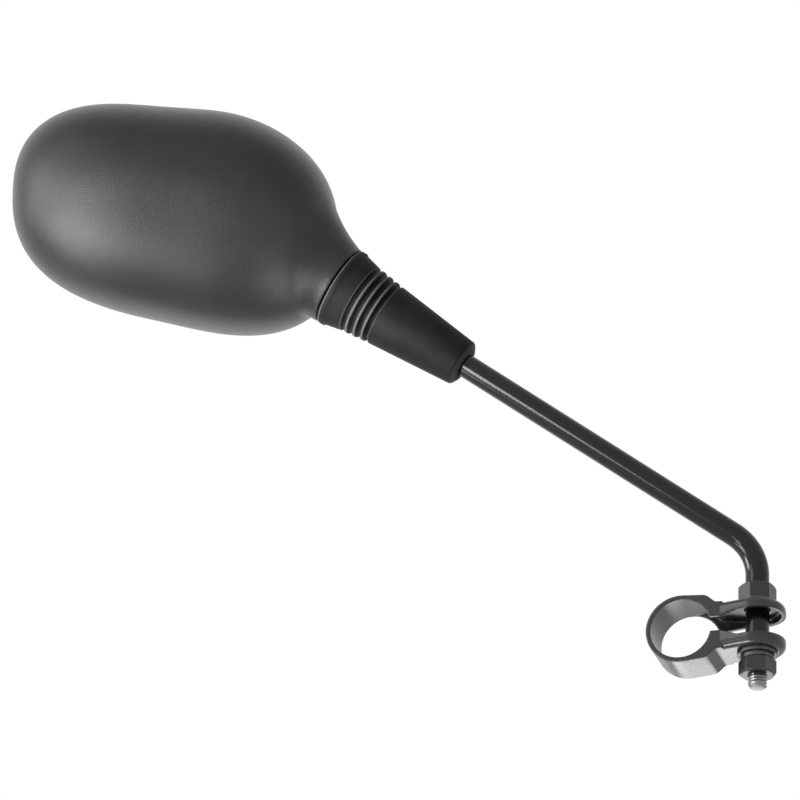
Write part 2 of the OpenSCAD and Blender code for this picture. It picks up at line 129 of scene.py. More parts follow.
class Value:
    """A number in a node tree, with Python's arithmetic."""

    def __init__(self, nodes: Nodes, socket: Socket) -> None:
        """Wraps an output socket of the tree."""
        self.nodes = nodes
        self.socket = socket

    def _math(self, operation: str, *values: Any) -> "Value":
        """Adds a Math node with its inputs in order, and returns its result."""
        return self.nodes.number("ShaderNodeMath", "Value", {"operation": operation}, dict(enumerate(values)))

    def __add__(self, other: Any) -> "Value":
        """Sum."""
        return self._math("ADD", self, other)

    def __radd__(self, other: Any) -> "Value":
        """Sum, reflected."""
        return self._math("ADD", other, self)

    def __sub__(self, other: Any) -> "Value":
        """Difference."""
        return self._math("SUBTRACT", self, other)

    def __rsub__(self, other: Any) -> "Value":
        """Difference, reflected."""
        return self._math("SUBTRACT", other, self)

    def __mul__(self, other: Any) -> "Value":
        """Product."""
        return self._math("MULTIPLY", self, other)

    def larger(self, other: Any) -> "Value":
        """The larger of two numbers."""
        return self._math("MAXIMUM", self, other)

    def between(self, low: float, high: float) -> "Value":
        """0 below low, 1 above high, and smooth between them."""
        return self.nodes.number("ShaderNodeMapRange", "Result", {"interpolation_type": "SMOOTHSTEP"},
                                 {"Value": self, "From Min": low, "From Max": high})


# Materials

class Shader(Nodes):
    """One procedural material on a Principled surface."""

    def __init__(self, name: str) -> None:
        """Starts a material with its output and surface."""
        self.material = bpy.data.materials.new(name)
        self.material.use_nodes = True
        super().__init__(self.material.node_tree)
        self.surface = self.node("ShaderNodeBsdfPrincipled")
        self.output = self.node("ShaderNodeOutputMaterial", None, {"Surface": self.surface.outputs[0]})
        self.place = self.node("ShaderNodeTexCoord").outputs["Object"]

    def noise(self, scale: float, detail: float = 2.0, rough: float = 0.5,
              stretch: Triple | None = None) -> Value:
        """Noise on the piece's own coordinates.

        Args:
            scale: features per metre, roughly.
            detail: octaves.
            rough: share of each finer octave.
            stretch: a scale for each axis, or None.

        Returns:
            The noise, about 0.5 on average.
        """
        place = self.place
        if stretch:
            place = self.node("ShaderNodeMapping", None, {"Vector": place, "Scale": stretch}).outputs[0]
        return self.number("ShaderNodeTexNoise", "Fac", None,
                           {"Vector": place, "Scale": scale, "Detail": detail, "Roughness": rough})

    def speckle(self, scale: float) -> Value:
        """Distance to scattered points, for pebbled grain."""
        return self.number("ShaderNodeTexVoronoi", "Distance", {"feature": "SMOOTH_F1"},
                           {"Vector": self.place, "Scale": scale, "Smoothness": 0.6})

    def attribute(self, name: str) -> Value:
        """A number stored on the mesh's points."""
        return self.number("ShaderNodeAttribute", "Fac", {"attribute_name": name})

    def height(self) -> Value:
        """Height along the upright axis, in metres."""
        return self.number("ShaderNodeSeparateXYZ", "Z", None, {0: self.place})

    def mix(self, factor: Any, first: Any, second: Any) -> Socket:
        """Mixes two colours."""
        return self.node("ShaderNodeMix", {"data_type": "RGBA"}, {0: factor, 6: first, 7: second}).outputs[2]

    def relief(self, height: Value, depth: float) -> None:
        """Feeds the surface's normal with a bump of that depth, in metres."""
        bump = self.node("ShaderNodeBump", None, {"Height": height, "Distance": depth})
        self.put(self.surface.inputs["Normal"], bump.outputs[0])

    def dress(self, **sockets: Any) -> Finish:
        """Sets the surface's sockets, named with underscores for spaces, and returns the material."""
        for name, value in sockets.items():
            self.put(self.surface.inputs[name.replace("_", " ")], value)
        return self.material


@dataclass(frozen=True)
class GrainedPlastic:
    """Moulded black plastic with a fine spark grain and faint flow clouds."""
    name: str = "grained_plastic"
    dark: Colour = (0.008, 0.008, 0.008)
    pale: Colour = (0.014, 0.014, 0.0138)
    roughness: float = 0.31
    specular: float = 0.24
    grain: float = 2200.0
    depth: float = 0.00016

    def material(self) -> Finish:
        """Builds the finish."""
        s = Shader(self.name)
        fine = s.noise(self.grain, 3.0, 0.65)
        cloud = s.noise(38.0, 3.0, 0.55)
        specks = (1 - s.speckle(950.0).between(0.02, 0.2)) * s.noise(260.0).between(0.5, 0.72)
        tone = cloud.between(0.3, 0.7) * 0.5 + fine * 0.5 + specks * 0.7
        rough = self.roughness + (cloud - 0.5) * 0.1 + (fine - 0.5) * 0.2
        s.relief(fine + cloud * 0.3, self.depth)
        return s.dress(Base_Color=s.mix(tone, self.dark, self.pale), Roughness=rough,
                       Specular_IOR_Level=self.specular)


@dataclass(frozen=True)
class BootRubber:
    """Soft black rubber, dull, with paler crests that are partly worn and partly painted highlight."""
    name: str = "boot_rubber"
    dark: Colour = (0.004, 0.004, 0.0042)
    pale: Colour = (0.009, 0.009, 0.009)
    # The paler tone of the crests: wear, and painted highlight along the edges.
    pale_marks: Colour = (0.1, 0.1, 0.1)
    roughness: float = 0.6
    specular: float = 0.1

    def material(self) -> Finish:
        """Builds the finish."""
        s = Shader(self.name)
        fine = s.noise(1900.0, 3.0, 0.6)
        cloud = s.noise(60.0, 2.0)
        # Painted highlight and wear: the crest attribute makes the lands, ring edges and sleeve edge paler.
        crest = s.attribute("crest") * (0.55 + fine * 0.5)
        s.relief(fine, 0.00005)
        base = s.mix(cloud.between(0.3, 0.7), self.dark, self.pale)
        rough = self.roughness + (cloud - 0.5) * 0.12 - crest * 0.1
        return s.dress(Base_Color=s.mix(crest, base, self.pale_marks), Roughness=rough,
                       Specular_IOR_Level=self.specular)


@dataclass(frozen=True)
class Paint:
    """Paint on steel: slight orange peel, clouds and fine scratches, and bare steel below a height."""
    name: str
    colour: Colour
    pale_marks: Colour
    roughness: float
    peel: float
    clouds: float
    wear: float
    bright_below: float | None = None
    specular: float = 0.5
    bare: Colour = (0.2, 0.2, 0.205)

    def material(self) -> Finish:
        """Builds the finish."""
        s = Shader(self.name)
        peel = s.noise(520.0, 2.0)
        cloud = s.noise(90.0, 3.0, 0.6)
        scratch = s.noise(900.0, 2.0, 0.7, (1.0, 0.25, 2.4)).between(0.62, 0.72)
        s.relief(peel, self.peel)
        colour: Any = s.mix((scratch * cloud.between(0.5, 0.7)) * self.wear, self.colour, self.pale_marks)
        rough: Any = self.roughness + (cloud - 0.5) * self.clouds + scratch * self.wear * 0.1
        if self.bright_below is not None:
            edge = s.height() + (cloud - 0.5) * 0.002
            bare = 1 - edge.between(self.bright_below - 0.0006, self.bright_below + 0.0006)
            colour = s.mix(bare, colour, self.bare)
            rough = rough * (1 - bare) + bare * (0.3 + cloud * 0.25)
            s.dress(Metallic=bare)
        return s.dress(Base_Color=colour, Roughness=rough, Specular_IOR_Level=self.specular)


@dataclass(frozen=True)
class Plating:
    """Plated or bare steel with fine turning marks and grey clouds."""
    name: str
    colour: Colour
    dull: Colour
    roughness: float
    marks: float = 1400.0

    def material(self) -> Finish:
        """Builds the finish."""
        s = Shader(self.name)
        lines = s.noise(self.marks, 2.0, 0.5, (0.3, 0.3, 3.0))
        cloud = s.noise(240.0, 3.0, 0.6)
        s.relief(lines, 0.00002)
        return s.dress(Base_Color=s.mix(cloud.between(0.3, 0.75), self.colour, self.dull), Metallic=1.0,
                       Roughness=self.roughness + (cloud - 0.5) * 0.2 + (lines - 0.5) * 0.1)


@dataclass(frozen=True)
class MirrorFace:
    """Silvered flat glass with a hint of dust."""
    name: str = "mirror_face"
    colour: Colour = (0.86, 0.88, 0.89)

    def material(self) -> Finish:
        """Builds the finish."""
        s = Shader(self.name)
        dust = s.noise(700.0, 3.0, 0.6).between(0.62, 0.8)
        return s.dress(Base_Color=self.colour, Metallic=1.0, Roughness=0.02 + dust * 0.05)


@dataclass(frozen=True)
class Moulded:
    """Plain moulded nylon, plastic or foam, for inner pieces."""
    name: str = "moulded"
    colour: Colour = (0.6, 0.6, 0.56)
    shade: Colour = (0.45, 0.45, 0.42)
    roughness: float = 0.45
    grain: float = 600.0

    def material(self) -> Finish:
        """Builds the finish."""
        s = Shader(self.name)
        cloud = s.noise(self.grain, 3.0, 0.6)
        s.relief(cloud, 0.00005)
        return s.dress(Base_Color=s.mix(cloud.between(0.35, 0.7), self.colour, self.shade),
                       Roughness=self.roughness + (cloud - 0.5) * 0.15)


# Meshes

def linked(name: str, data: bpy.types.ID) -> Piece:
    """Makes an object of some data and links it to the scene."""
    obj = bpy.data.objects.new(name, data)
    bpy.context.scene.collection.objects.link(obj)
    return obj


def mesh_object(name: str, points: Sequence[Sequence[float]], faces: Sequence[Sequence[int]],
                material: Finish, smooth: bool = True) -> Piece:
    """Makes a mesh object at the origin.

    Args:
        name: the piece's name.
        points: vertices in metres.
        faces: loops of vertex numbers, counter-clockwise from outside.
        material: its finish.
        smooth: shade smooth, with sharp edges kept.

    Returns:
        The object, linked to the scene.
    """
    mesh = bpy.data.meshes.new(name)
    mesh.from_pydata([tuple(p) for p in points], [], [tuple(f) for f in faces])
    mesh.materials.append(material)
    finish_shading(mesh, smooth)
    return linked(name, mesh)


def finish_shading(mesh: bpy.types.Mesh, smooth: bool = True) -> None:
    """Shades a mesh smooth, and marks its edges over the sharp angle as sharp."""
    mesh.update()
    mesh.polygons.foreach_set("use_smooth", [smooth] * len(mesh.polygons))
    if smooth:
        bm = bmesh.new()
        bm.from_mesh(mesh)
        for edge in bm.edges:
            edge.smooth = len(edge.link_faces) == 2 and edge.calc_face_angle(0.0) < SHARP
        bm.to_mesh(mesh)
        bm.free()


def lathe(name: str, profile: Sequence[tuple[float, float]], place: Matrix, material: Finish,
          sides: int = 96) -> Piece:
    """Turns a profile of (radius, height) about the local Z axis.

    Args:
        name: the piece's name.
        profile: millimetres; with the solid on the left of the walk from the bottom end up.
        place: the local frame, in metres.
        material: its finish.
        sides: steps round the axis.

    Returns:
        The object.
    """
    points: list[Vector] = []
    rings: list[list[int]] = []
    for radius, height in profile:
        count = 1 if radius < TINY else sides
        rings.append([len(points) + k for k in range(count)])
        for k in range(count):
            a = 2 * pi * k / sides
            points.append(place @ Vector((radius * cos(a) * MM, radius * sin(a) * MM, height * MM)))
    faces: list[tuple[int, ...]] = []
    closed = profile[0][0] > TINY
    pairs = list(zip(rings, rings[1:])) + ([(rings[-1], rings[0])] if closed else [])
    for low, high in pairs:
        for k in range(sides):
            n = (k + 1) % sides
            quad = [low[k % len(low)], low[n % len(low)], high[n % len(high)], high[k % len(high)]]
            face = tuple(dict.fromkeys(quad))
            if len(face) > 2:
                faces.append(face)
    return mesh_object(name, points, faces, material)


def woven(rings: int, across: int, joins: int) -> list[tuple[int, ...]]:
    """Quads between rings of points, over a number of joins from the first ring on."""
    starts = [(ring * across, (ring + 1) % rings * across) for ring in range(joins)]
    steps = [(i, (i + 1) % across) for i in range(across)]
    return [(a + i, a + n, b + n, b + i) for a, b in starts for i, n in steps]


def rounded(profile: Sequence[Triple], steps: int = 5) -> list[tuple[float, float]]:
    """Rounds the corners of a profile.

    Args:
        profile: points of radius, height and corner radius.
        steps: points on each round.

    Returns:
        The points of the rounded profile.
    """
    out: list[tuple[float, float]] = []
    for i, (r, h, fillet) in enumerate(profile):
        here = Vector((r, h))
        if fillet <= 0 or i in (0, len(profile) - 1):
            out.append((r, h))
            continue
        back = Vector(profile[i - 1][:2]) - here
        ahead = Vector(profile[i + 1][:2]) - here
        cut = min(fillet, back.length * 0.49, ahead.length * 0.49)
        start, end = here + back.normalized() * cut, here + ahead.normalized() * cut
        for k in range(steps + 1):
            t = k / steps
            point = start * (1 - t) ** 2 + here * 2 * t * (1 - t) + end * t ** 2
            out.append((point.x, point.y))
    return out


def softened(node: str, name: str, material: Finish, voxel: float, passes: int) -> Piece:
    """Copies a node's solid with its edges slightly rounded, as pressing and paint leave them.

    Args:
        node: the node to copy.
        name: the new piece's name.
        material: its finish.
        voxel: the grid of the new mesh, in millimetres.
        passes: smoothing passes.

    Returns:
        The new object.
    """
    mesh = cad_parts[node].data.copy()
    bm = bmesh.new()
    bm.from_mesh(mesh)
    bmesh.ops.remove_doubles(bm, verts=bm.verts, dist=2e-6)
    bm.to_mesh(mesh)
    bm.free()
    obj = linked(name, mesh)
    remesh = obj.modifiers.new("grid", "REMESH")
    remesh.mode, remesh.voxel_size, remesh.use_smooth_shade = "VOXEL", voxel * MM, True
    smooth = obj.modifiers.new("soft", "SMOOTH")
    smooth.factor, smooth.iterations = 0.5, passes
    baked = plain_mesh(obj)
    baked.materials.clear()
    baked.materials.append(material)
    obj.modifiers.clear()
    obj.data = baked
    return obj


def plain_mesh(obj: Piece) -> bpy.types.Mesh:
    """The evaluated mesh of an object, as a plain one."""
    graph = bpy.context.evaluated_depsgraph_get()
    return bpy.data.meshes.new_from_object(obj.evaluated_get(graph), depsgraph=graph)


def ride(obj: Piece, body: Body, slot: str, *nodes: str) -> None:
    """Seats a finished piece on a body.

    Args:
        obj: the piece.
        body: the body it rides on.
        slot: a material slot's name; not used.
        nodes: the nodes it stands for.
    """
    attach(obj, body.value)
    claim(obj, slot, *nodes)


def claim(obj: Piece, slot: str, *nodes: str) -> None:
    """Hides the nodes a seated piece stands for, and logs its face count."""
    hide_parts(*nodes)
    LOG.info("%s: %d faces for %s", obj.name, len(obj.data.polygons), ", ".join(nodes))


# Geometry Nodes

class Tree(Nodes):
    """A Geometry Nodes tree with named sizes, ending in Realize Instances and Set Material."""

    def __init__(self, name: str, **sizes: float) -> None:
        """Starts a tree.

        Args:
            name: the tree's name.
            sizes: its inputs and their values, in metres where they are lengths.
        """
        super().__init__(bpy.data.node_groups.new(name, "GeometryNodeTree"))
        self.sizes = sizes
        self.face = self.tree.interface
        self.face.new_socket("Geometry", in_out="INPUT", socket_type="NodeSocketGeometry")
        for key in sizes:
            self.face.new_socket(key, in_out="INPUT", socket_type="NodeSocketFloat")
        self.face.new_socket("Geometry", in_out="OUTPUT", socket_type="NodeSocketGeometry")
        self.inputs = self.node("NodeGroupInput").outputs

    def coil(self, steps: int) -> Socket:
        """A right-handed coil of the sizes Radius, Turns and Height, with that many steps a turn."""
        radius = self.inputs["Radius"]
        return self.node("GeometryNodeCurveSpiral", None, {
            "Resolution": steps, "Rotations": self.inputs["Turns"], "Height": self.inputs["Height"],
            "Start Radius": radius, "End Radius": radius, "Reverse": True}).outputs[0]

    def sweep(self, curve: Socket, radius: str, sides: int) -> Socket:
        """Sweeps a ring of a named radius along a curve, and caps the ends."""
        ring = self.node("GeometryNodeCurvePrimitiveCircle", None,
                         {"Resolution": sides, "Radius": self.inputs[radius]})
        return self.node("GeometryNodeCurveToMesh", None, {
            "Curve": curve, "Profile Curve": ring.outputs[0], "Fill Caps": True}).outputs[0]

    def make(self, name: str, geometry: Socket, material: Finish,
             base: bpy.types.Mesh | bpy.types.Curve | None = None) -> Piece:
        """Ends the tree, runs it on a new object and keeps the result as a plain mesh.

        Args:
            name: the piece's name.
            geometry: what the tree has made.
            material: its finish.
            base: the mesh or curve that the tree starts from, or None.

        Returns:
            The finished object.
        """
        real = self.node("GeometryNodeRealizeInstances", None, {"Geometry": geometry})
        shade = self.node("GeometryNodeSetShadeSmooth", None, {"Geometry": real.outputs[0]})
        dressed = self.node("GeometryNodeSetMaterial", None,
                            {"Geometry": shade.outputs[0], "Material": material})
        self.node("NodeGroupOutput", None, {0: dressed.outputs[0]})
        start = linked(name, base or bpy.data.meshes.new(name))
        modifier = start.modifiers.new(name, "NODES")
        modifier.node_group = self.tree
        for item in self.face.items_tree:
            if item.in_out == "INPUT" and item.name in self.sizes:
                modifier[item.identifier] = float(self.sizes[item.name])
        baked = plain_mesh(start)
        bpy.data.objects.remove(start)
        finish_shading(baked)
        return linked(name, baked)


def moved(obj: Piece, place: Matrix) -> Piece:
    """Puts a place into an object's mesh, and returns the object."""
    obj.data.transform(place)
    return obj


# Sub-assemblies

def turned(v: np.ndarray, axis: int, angle: float) -> np.ndarray:
    """Turns a vector about one of the three axes, by an angle in degrees."""
    a = radians(angle)
    i, j = (axis + 1) % 3, (axis + 2) % 3
    out = v.copy()
    out[i], out[j] = v[i] * cos(a) - v[j] * sin(a), v[i] * sin(a) + v[j] * cos(a)
    return out


@dataclass
class Stem:
    """The bent rod with its threaded stud, and where it carries the ball joint."""
    stud_x: float = 30.8
    rod_d: float = 10.0
    stud_d: float = 8.0
    pitch: float = 1.25
    bend_z: float = 24.2
    bend_r: float = 23.0
    bend_angle: float = 55.5
    yaw: float = 15.0
    run: float = 187.4
    shoulder_z: float = -4.0
    end_z: float = -26.8
    thread_depth: float = 0.62
    bend_steps: int = 32
    taper_t: float = -14.6
    spigot_t: float = -12.4
    pin_t: float = -6.4
    spigot_r: float = 4.0
    pin_r: float = 2.8
    ring_groove: Triple = (2.4, 5.52, 6.3)
    tip_t: float = 7.0

    def joint(self) -> Matrix:
        """The joint's frame: the ball's centre, with Z along the rod towards the head."""
        return (self.stud() @ Matrix.Translation((-self.bend_r * MM, 0, self.bend_z * MM))
                @ Matrix.Rotation(radians(-self.bend_angle), 4, "Y")
                @ Matrix.Translation((self.bend_r * MM, 0, self.run * MM)))

    def stud(self) -> Matrix:
        """The stud's frame, turned as the rod is."""
        return Matrix.Translation((self.stud_x * MM, 0, 0)) @ Matrix.Rotation(radians(self.yaw), 4, "Z")

    def path(self) -> list[Vector]:
        """Points along the rod's centre line, from the shoulder to the turned-down end."""
        place = self.stud()
        points = [Vector((0, 0, self.shoulder_z + 0.5)), Vector((0, 0, self.bend_z * 0.5))]
        for k in range(self.bend_steps + 1):
            a = radians(self.bend_angle * k / self.bend_steps)
            points.append(Vector((-self.bend_r * (1 - cos(a)), 0, self.bend_z + self.bend_r * sin(a))))
        way, last = Vector((-sin(a), 0, cos(a))), points[-1]
        points += [last + way * self.run * 0.5, last + way * (self.run + self.taper_t + 0.1)]
        return [place @ (p * MM) for p in points]

    def build(self, paint: Finish) -> None:
        """Makes the rod by a sweep along its path, its stud with a real thread, and its end pin."""
        curve = bpy.data.curves.new("rod_path", "CURVE")
        curve.dimensions = "3D"
        spline = curve.splines.new("POLY")
        points = self.path()
        spline.points.add(len(points) - 1)
        for point, co in zip(spline.points, points):
            point.co = (*co, 1)
        tree = Tree("rod_sweep", Radius=self.rod_d / 2 * MM)
        rod = tree.make("rod", tree.sweep(tree.inputs["Geometry"], "Radius", 72), paint, curve)

        low, top, r = self.end_z, self.shoulder_z, self.rod_d / 2
        core = self.stud_d / 2 - self.thread_depth
        stud = lathe("stud", rounded([
            (0, low, 0), (core - 0.5, low, 0.2), (core + 0.1, low + 0.8, 0.2), (core, low + 1.6, 0),
            (core, top - 0.6, 0.1), (r - 0.5, top, 0.3), (r, top + 0.6, 0.2), (r, top + 1.2, 0),
            (0, top + 1.2, 0)]), self.stud(), paint)
        groove_r, groove_low, groove_high = self.ring_groove
        end = lathe("rod_end", rounded([
            (0, -16, 0), (r, -16, 0), (r, self.taper_t, 0.2), (self.spigot_r, self.spigot_t, 0.2),
            (self.spigot_r, self.pin_t, 0.1), (self.pin_r, self.pin_t, 0.1), (self.pin_r, groove_low, 0.1),
            (groove_r, groove_low, 0), (groove_r, groove_high, 0), (self.pin_r, groove_high + 0.1, 0.1),
            (self.pin_r - 0.3, self.tip_t, 0.1), (0, self.tip_t + 0.02, 0)]), self.joint(), paint)
        whole = joined("rod", [rod, stud, self.thread(paint), end])
        ride(whole, Body.STEM, "rod_paint", "stem_rod")

    def thread(self, paint: Finish) -> Piece:
        """Winds the thread's ridge about the stud.

        Returns:
            The ridge as one mesh.
        """
        low, high = self.end_z + 0.9, self.shoulder_z - 0.9
        tree = Tree("stud_thread", Radius=(self.stud_d / 2 - self.thread_depth) * MM,
                    Turns=(high - low) / self.pitch, Height=(high - low) * MM, Half=self.thread_depth * MM)
        upright = tree.node("GeometryNodeSetCurveNormal", {"mode": "Z_UP"}, {"Curve": tree.coil(48)})
        obj = tree.make("stud_thread", tree.sweep(upright.outputs[0], "Half", 4), paint)
        return moved(obj, self.stud() @ Matrix.Translation((0, 0, low * MM)))


def joined(name: str, parts: list[Piece]) -> Piece:
    """Joins objects into one piece that keeps each part's finish.

    Args:
        name: the piece's name.
        parts: the objects, which are used up.

    Returns:
        The joined object.
    """
    bm = bmesh.new()
    slots: list[Finish] = []
    for part in parts:
        shift = {}
        for i, material in enumerate(part.data.materials):
            if material not in slots:
                slots.append(material)
            shift[i] = slots.index(material)
        first = len(bm.faces)
        bm.from_mesh(part.data)
        bm.faces.ensure_lookup_table()
        for face in bm.faces[first:]:
            face.material_index = shift.get(face.material_index, 0)
    mesh = bpy.data.meshes.new(name)
    bm.to_mesh(mesh)
    bm.free()
    for part in parts:
        bpy.data.objects.remove(part)
    for material in slots:
        mesh.materials.append(material)
    return linked(name, mesh)


@dataclass
class Clamp:
    """The pressed collar and the fasteners on the stud."""
    voxel: float = 0.26
    fine_voxel: float = 0.17

    def build(self, collar: Finish, black: Finish, steel: Finish) -> None:
        """Rounds each pressed or turned piece's edges and dresses it."""
        fine = self.fine_voxel
        pieces = [
            ("collar_strap", "collar", collar, self.voxel, 7, Body.CLAMP, "collar_paint"),
            ("upper_washer", "washer_upper", steel, fine, 3, Body.CLAMP, "washer_steel"),
            ("hex_collar", "hexagon", black, fine, 5, Body.STEM, "fastener_black"),
            ("clamp_nut", "nut", black, fine, 5, Body.NUT, "fastener_black"),
            ("lower_washer", "washer_lower", steel, fine, 3, Body.WASHERS, "washer_steel"),
            ("spring_washer", "washer_spring", steel, fine, 3, Body.WASHERS, "washer_steel"),
        ]
        for node, name, material, voxel, passes, body, slot in pieces:
            ride(softened(node, name, material, voxel, passes), body, slot, node)


@dataclass
class Boot:
    """The rubber boot: a sleeve, four grooves and a long cone, parted in the hidden bottom of a groove."""
    stem: Stem
    seam_t: float = 12.0
    length: float = 63.8
    sleeve_d: float = 34.7
    ring_d: float = 30.4
    cone_d: float = 27.1
    end_d: float = 19.9
    face_d: float = 14.4
    ring_l: float = 10.6
    pitch: float = 3.6
    count: int = 4
    width: float = 2.2
    depth: float = 1.7
    room: float = 12.0
    grip: float = 5.5
    split: int = 1
    parting: float = 0.55
    slack: float = 0.06
    top_t: float = 11.2

    def crest(self, s: float) -> float:
        """The outside radius at a distance from the housing's end face, over the rings."""
        cone_s = self.ring_l + self.count * self.pitch - (self.pitch - self.width)
        t = (s - self.ring_l) / (cone_s - self.ring_l)
        return (self.ring_d * (1 - t) + self.cone_d * t) / 2

    def groove(self, k: int, part: tuple[float, float] = (0.0, 1.0)) -> list[tuple[float, float]]:
        """Points of a groove's round-bottomed section, as radius and distance, over part of its width."""
        start = self.ring_l + k * self.pitch
        out = []
        for i in range(13):
            t = i / 12
            if part[0] <= t <= part[1]:
                fall = (1 - abs(2 * t - 1) ** 3.2) * self.depth
                out.append((self.crest(start + t * self.width) - fall, start + t * self.width))
        return out

    def land(self, k: int) -> list[tuple[float, float]]:
        """The rounded crest between groove k and the next."""
        start = self.ring_l + k * self.pitch + self.width
        span = self.pitch - self.width
        return [(self.crest(start + t * span) + 0.16 * sin(pi * t), start + t * span)
                for t in (0.12, 0.3, 0.5, 0.7, 0.88)]

    def pale_marks(self, r: float, s: float, cone_s: float) -> float:
        """How pale a point of the boot is painted, from 0 to 1: painted highlight lines on the ring edges and
        the sleeve's rounded edge, lands that are partly worn and partly painted highlight, and a paler ring
        on the end face.

        Args:
            r: its radius.
            s: its distance from the housing's end face.
            cone_s: where the cone begins.

        Returns:
            The share of the pale tone.
        """
        # Painted highlight: thin pale lines along the edges where the rings and the cone begin.
        if min(abs(s - self.ring_l), abs(s - cone_s)) < 0.02 and r > self.crest(s) - 0.1:
            return 0.8
        # The lands between grooves: partly wear, partly painted highlight.
        if self.ring_l < s < cone_s:
            return min(1.0, max(0.0, (r - self.crest(s) - 0.05) / 0.1))
        # Painted highlight along the sleeve's rounded edge by the housing.
        if s < 1.55 and r > self.sleeve_d / 2 - 0.45:
            return 0.7
        # A paler ring on the end face.
        return 0.45 if s > self.length - 1.5 and self.face_d / 2 < r < self.end_d / 2 - 0.25 else 0.0

    def build(self, rubber: Finish) -> None:
        """Turns the ringed sleeve and the cone, and marks their crests paler, partly as wear and partly as
        painted highlight.
        """
        sleeve_r, rod_r = self.sleeve_d / 2, self.stem.rod_d / 2
        top = rounded([(self.room, self.top_t, 0), (sleeve_r, self.top_t, 0.7), (sleeve_r, 10.25, 0),
                       (sleeve_r, 9.0, 0)])
        sleeve = [(r, self.seam_t - t) for r, t in top]
        sleeve += [(sleeve_r + (self.ring_d - self.sleeve_d) / 2 * (t ** 1.15), self.ring_l * t)
                   for t in (0.35, 0.5, 0.65, 0.8, 0.92, 0.97)]
        for k in range(self.split):
            sleeve += self.groove(k) + self.land(k)
        middle = self.groove(self.split, (0.0, self.parting))
        floor_r, split_s = middle[-1]
        sleeve += middle + [(floor_r - 1.0, split_s), (self.room, self.ring_l + 1.5)]
        cone = [(floor_r - 1.0, split_s), (floor_r, split_s)]
        cone += self.groove(self.split, (self.parting + 0.01, 1.0))
        for k in range(self.split + 1, self.count):
            cone += self.land(k - 1) + self.groove(k)
        cone_s, lip_s, bore_r = cone[-1][1], self.length - self.grip, rod_r + self.slack
        small = rounded([
            (self.cone_d / 2, cone_s + 0.05, 0), (self.end_d / 2, self.length - 1.6, 0.9),
            (self.face_d / 2, self.length, 0.5), (bore_r, self.length, 0.3), (bore_r, lip_s, 0)])
        hollow = [(rod_r + 1.3, lip_s - 3), (rod_r + 2.3, lip_s - 8), (rod_r + 2.6, 24)]
        cone += [(self.cone_d / 2 + 0.05, cone_s + 0.35)] + small[1:] + hollow + [(floor_r - 2.2, 19)]
        place = self.stem.joint()
        way = place.to_3x3() @ Vector((0, 0, 1))
        centre = place.translation

        def at(t: float) -> Triple:
            """A point on the rod's axis at a distance from the ball's centre."""
            return tuple(centre + way * (t * MM))

        for name, profile, bodies, ends in (
                ("boot_sleeve", sleeve, (Body.SEAT, Body.HEAD), (self.seam_t - split_s, 11.0)),
                ("boot_cone", cone, (Body.BOOT, Body.SEAT),
                 (self.seam_t - self.length + self.grip - 0.5, self.seam_t - split_s))):
            walk = [(r, self.seam_t - s) for r, s in reversed(profile)]
            obj = lathe(name, walk, place, rubber, sides=144)
            # The crest attribute holds each point's share of painted highlight and wear.
            mark = obj.data.attributes.new("crest", "FLOAT", "POINT")
            values = []
            for vertex in obj.data.vertices:
                local = place.inverted() @ vertex.co / MM
                values.append(self.pale_marks(local.xy.length, self.seam_t - local.z, cone_s))
            mark.data.foreach_set("value", values)
            at(ends[0])
            at(ends[1])
            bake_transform(obj)
            claim(obj, "boot_rubber", "rubber_boot")


